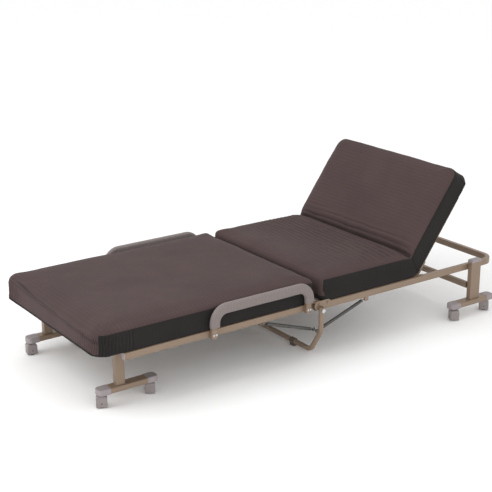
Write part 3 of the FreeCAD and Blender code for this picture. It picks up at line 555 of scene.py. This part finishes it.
# The head cover's dark border: partly the charcoal side cloth, partly painted shade of the long sides.
dark_border_and_side_shade = np.maximum(out_of_plan + EDGE - (height - THICK + EDGE), BORDER_TAPE - height)
dark_border_and_side_shade = np.where((run + PIVOT.x < seat_low.x + SEAM_CORNER) & (height > 0.02), -0.02, dark_border_and_side_shade)
crease_seam = np.abs(from_crease) + ease(upward, 0.2, 0.6) * 0.05
sewn_near = np.minimum(np.abs(dark_border_and_side_shade) + 0.0006, crease_seam)
mark(head_cover.data, "lie", np.column_stack((from_crease, points[:, 1], height)))
mark(head_cover.data, "dark_border_and_side_shade", dark_border_and_side_shade)
mark(head_cover.data, "sewn", np.minimum(sewn_near, 0.05))
spread = 1 - RIPPLE_FAN * points[:, 1] / HALF_WIDE
phase = from_crease / (RIPPLE * spread) + 0.35 * drift(points, 0.12, 5.0)
strength = np.where(on_back, BACK_RIPPLE_DEEP * (1 - ease(from_crease, 0.02, 0.11)),
                    SEAT_RIPPLE_DEEP * ease(from_crease, -0.50, -0.10))
inset = np.clip(-out_of_plan, 0, None)
strength = strength * ease(inset, 0.006, 0.07) * ease(upward, 0.5, 0.85)
ripples = strength * (np.abs(np.sin(math.pi * phase)) ** 0.8 - 0.75)
crease = -CREASE_DEEP * np.exp(-(from_crease / 0.012) ** 2) * ease(upward, 0.3, 0.7)
# Each point's depth in a ripple valley or the crease, for the painted shade there.
mark(head_cover.data, "painted_crease_shade", np.clip(-ripples - crease, 0, None))
sag = drift(points, 0.16, 11.0) * SAG + drift(points, 0.05, 13.0) * PUCKER
seam_pull = -0.0020 * np.exp(-(crease_seam / 0.006) ** 2)
moves = ripples + crease + sag * (1 - ease(-upward, 0.5, 0.9)) + seam_pull
lift = np.where(on_back[:, None], np.array(off_back), np.array((0.0, 0.0, 1.0)))
points = points + lift * (crown(out_of_plan, height) * ease(np.abs(from_crease), 0.0, 0.05))[:, None]
near_side = ease(np.abs(points[:, 1]), HALF_WIDE - 0.06, HALF_WIDE - SWELL) * (1 - ease(height, 0.0, 0.045))
points[:, 1] += np.sign(points[:, 1]) * FLARE * near_side * (1 - ease(run, -0.06, -0.01))
put(head_cover.data, points + facing * moves[:, None])
head_cover.data.materials.append(woven)
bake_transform(head_cover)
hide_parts("seat_cushion", "back_cushion")

# Handle sleeves: a soft foamed vinyl tube of rounded rectangular section, pushed over each grip tube and
# bent with it. The skin is matt, with fine lines up its faces and a slightly burnished top.
sleeve_low, sleeve_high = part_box("handle_pads")
SLEEVE_THICK = 0.024
SLEEVE_TALL = 0.044
SLEEVE_BEND = 0.055
SLEEVE_ROUND = 0.011
BEND_STEPS = 12
GRIP_STEPS = 24

foam_vinyl, shader = material("foamed_vinyl_sleeve", Roughness=0.6, IOR=1.5, Sheen_Weight=0.08)
place = add(foam_vinyl, "TexCoord", {}).outputs["Object"]
lines = add(foam_vinyl, "Mapping", {"Vector": place}, {"Scale": (1000 / 2.5, 1000 / 6, 1000 / 28)})
streaks = add(foam_vinyl, "TexNoise", {"Vector": lines.outputs[0]}, {"Scale": 1.0, "Detail": 3.0})
tone = add(foam_vinyl, "Mix", {0: streaks.outputs[0]}, {6: srgb("#716765"), 7: srgb("#807674")},
           data_type="RGBA")
join(foam_vinyl, tone.outputs[2], shader, "Base Color")
join(foam_vinyl,
     add(foam_vinyl, "Bump", {"Height": streaks.outputs[0]},
         {"Strength": 0.12, "Distance": 0.0003}).outputs[0],
     shader, "Normal")


def sleeve(name, way):
    """Extrudes and spins the sleeve's section along the grip; way is -1 on the near side."""
    mid_y = way * (sleeve_high.y - SLEEVE_THICK / 2)
    foot_x, head_x = sleeve_low.x + SLEEVE_TALL / 2, sleeve_high.x - SLEEVE_TALL / 2
    grip_z = sleeve_high.z - SLEEVE_TALL / 2
    bend_z = grip_z - SLEEVE_BEND
    bm = bmesh.new()
    bmesh.ops.create_grid(bm, x_segments=1, y_segments=1, size=0.5)
    bmesh.ops.scale(bm, vec=(SLEEVE_TALL, SLEEVE_THICK, 1), verts=bm.verts)
    bmesh.ops.bevel(bm, geom=bm.verts[:], offset=SLEEVE_ROUND, segments=5, profile=0.5, affect="VERTICES",
                    material=-1)
    bmesh.ops.translate(bm, vec=(foot_x, mid_y, sleeve_low.z), verts=bm.verts)
    face = bm.faces[:]

    def carry(face, shift):
        grown = bmesh.ops.extrude_face_region(bm, geom=face)["geom"]
        bmesh.ops.translate(bm, vec=shift, verts=[g for g in grown if isinstance(g, bmesh.types.BMVert)])
        return [g for g in grown if isinstance(g, bmesh.types.BMFace)]

    def turn_over(face, centre):
        spun = bmesh.ops.spin(bm, geom=face, cent=centre, axis=(0, 1, 0), angle=math.pi / 2,
                              steps=BEND_STEPS)
        return [g for g in spun["geom_last"] if isinstance(g, bmesh.types.BMFace)]

    straight = head_x - foot_x - 2 * SLEEVE_BEND
    face = carry(face, (0, 0, bend_z - sleeve_low.z))
    face = turn_over(face, (foot_x + SLEEVE_BEND, mid_y, bend_z))
    for _ in range(GRIP_STEPS):
        face = carry(face, (straight / GRIP_STEPS, 0, 0))
    face = turn_over(face, (head_x - SLEEVE_BEND, mid_y, bend_z))
    face = carry(face, (0, 0, sleeve_low.z - bend_z))
    bmesh.ops.recalc_face_normals(bm, faces=bm.faces)
    rims = [e for e in bm.edges if e.calc_face_angle(0) > 1.2
            and abs(e.verts[0].co.z - e.verts[1].co.z) < 1e-5
            and e.verts[0].co.z < sleeve_low.z + 0.001]
    bmesh.ops.bevel(bm, geom=rims, offset=0.003, segments=3, profile=0.5, affect="EDGES", material=-1)
    made = piece(name, bm, foam_vinyl)
    finer = made.modifiers.new("finer", "SUBSURF")
    finer.levels = finer.render_levels = 1
    apply_modifiers(made)
    at, out = places(made.data), normals(made.data)
    put(made.data, at + out * (drift(at, 0.06, 2.0) * 0.0006)[:, None])
    return made


for side_name, way in (("near", -1), ("far", 1)):
    pad = sleeve("handle_sleeve_" + side_name, way)
    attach(pad, "foot_frame")
    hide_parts("handle_pads")

# Assist springs: close-wound coils of drawn spring wire, dark with oil, with a hook at each end, between a
# tab under the rail and the knee pin of the centre leg.
WIRE_R = 0.0016
COIL_R = 0.0056
COIL_PITCH = 0.0033
TAB_HOOK = 0.020          # straight wire between each eye and the coils
KNEE_HOOK = 0.015
EYE_WIDE = 0.007          # from the spring's centre to the outside of its eye and coils

spring_wire, shader = material("drawn_spring_wire", Metallic=1.0)
place = add(spring_wire, "TexCoord", {}).outputs["Object"]
film = add(spring_wire, "TexNoise", {"Vector": place}, {"Scale": 1000 / 10, "Detail": 3.0})
tone = add(spring_wire, "Mix", {0: film.outputs[0]}, {6: srgb("#5c5b5a"), 7: srgb("#7b7975")},
           data_type="RGBA")
join(spring_wire, tone.outputs[2], shader, "Base Color")
gloss = add(spring_wire, "MapRange", {0: film.outputs[0]}, {1: 0.3, 2: 0.7, 3: 0.28, 4: 0.45})
join(spring_wire, gloss.outputs[0], shader, "Roughness")
knee = Vector((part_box("knee_pins")[0].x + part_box("knee_pins")[1].x, 0,
               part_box("knee_pins")[0].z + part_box("knee_pins")[1].z)) / 2


def coil(name, tab, y):
    """A coil spun between the tab and the knee pin, with a straight wire and an eye at each end."""
    start, end = Vector((tab.x, y, tab.z)), Vector((knee.x, y, knee.z))
    span = end - start
    along = span.normalized()
    body_start, body_end = start + along * TAB_HOOK, end - along * KNEE_HOOK
    turns = int((body_end - body_start).length / COIL_PITCH)
    steps = turns * 12
    bm = bmesh.new()
    ring = bmesh.ops.create_circle(bm, segments=6, radius=WIRE_R, cap_ends=False)["verts"]
    sideways_y = Vector((0, 1, 0))
    rise = along.cross(sideways_y)
    turn_in = Matrix((rise, along, sideways_y)).transposed()
    bmesh.ops.rotate(bm, verts=ring, cent=(0, 0, 0), matrix=turn_in)
    bmesh.ops.translate(bm, verts=ring, vec=body_start + rise * COIL_R)
    bmesh.ops.spin(bm, geom=bm.verts[:] + bm.edges[:], cent=body_start, axis=along,
                   angle=turns * 2 * math.pi,
                   dvec=(body_end - body_start) / steps, steps=steps)
    for hook, inner, reach in ((start, body_start, 0.0045), (end, body_end, 0.0055)):
        outwards = (inner - hook).normalized()
        cone = bmesh.ops.create_cone(bm, segments=10, radius1=WIRE_R * 1.3, radius2=WIRE_R * 1.3,
                                     cap_ends=True,
                                     depth=(inner - hook).length - reach + 0.002)["verts"]
        bmesh.ops.rotate(bm, verts=cone, cent=(0, 0, 0),
                         matrix=outwards.to_track_quat("Z", "Y").to_matrix())
        bmesh.ops.translate(bm, verts=cone, vec=hook + outwards * (reach + (inner - hook).length) / 2)
        loop = bmesh.ops.create_circle(bm, segments=8, radius=WIRE_R, cap_ends=False)["verts"]
        rim = [e for e in bm.edges if e.verts[0] in loop and e.verts[1] in loop]
        bmesh.ops.translate(bm, verts=loop, vec=hook + Vector((reach + WIRE_R, 0, 0)))
        bmesh.ops.spin(bm, geom=loop + rim, cent=hook, axis=(0, 1, 0), angle=2 * math.pi, steps=20,
                       use_merge=True)
    bmesh.ops.recalc_face_normals(bm, faces=bm.faces)
    return piece(name, bm, spring_wire)


for half in ("foot", "head"):
    hinge = next(j for j in frame["joints"] if j["name"] == half + "_spring_turn")
    tab = Vector(hinge["pos_m"])
    spring_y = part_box(half + "_springs")[1].y - EYE_WIDE
    for side_name, side in (("near", -1), ("far", 1)):
        spring = coil(half + "_spring_" + side_name, tab, side * spring_y)
        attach(spring, half + "_spring_body")
        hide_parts(half + "_springs")
        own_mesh(spring)

# Casters: two hard wheels on an axle under a moulded hood, on a swivel stem. The hood is the caps' grey a
# shade darker and glossier, and the tyres a dark thermoplastic rubber with a scuffed tread.
hood_plastic, shader = material("moulded_nylon_hood", Roughness=0.45, IOR=1.53)
place = add(hood_plastic, "TexCoord", {}).outputs["Object"]
cloudy = add(hood_plastic, "TexNoise", {"Vector": place}, {"Scale": 1000 / 20, "Detail": 4.0})
tone = add(hood_plastic, "Mix", {0: cloudy.outputs[0]}, {6: srgb("#7c7473"), 7: srgb("#8f8685")},
           data_type="RGBA")
join(hood_plastic, tone.outputs[2], shader, "Base Color")
pits = add(hood_plastic, "TexNoise", {"Vector": place}, {"Scale": 1000 / 1.2})
join(hood_plastic,
     add(hood_plastic, "Bump", {"Height": pits.outputs[0]},
         {"Strength": 0.25, "Distance": 0.0002}).outputs[0],
     shader, "Normal")
tyre, shader = material("thermoplastic_rubber_tyre", Roughness=0.7, IOR=1.52)
place = add(tyre, "TexCoord", {}).outputs["Object"]
scuff = add(tyre, "TexNoise", {"Vector": place}, {"Scale": 1000 / 5, "Detail": 5.0})
tone = add(tyre, "Mix", {0: scuff.outputs[0]}, {6: srgb("#2f2c2c"), 7: srgb("#4d4847")}, data_type="RGBA")
join(tyre, tone.outputs[2], shader, "Base Color")
stations = [place_name + "_" + side_name for place_name in ("foot_outer", "foot_inner", "head_inner",
                                                            "head_outer")
            for side_name in ("near", "far")]
paint(["caster_hood_" + s for s in stations], hood_plastic)
paint(["caster_wheels_" + s for s in stations], tyre)
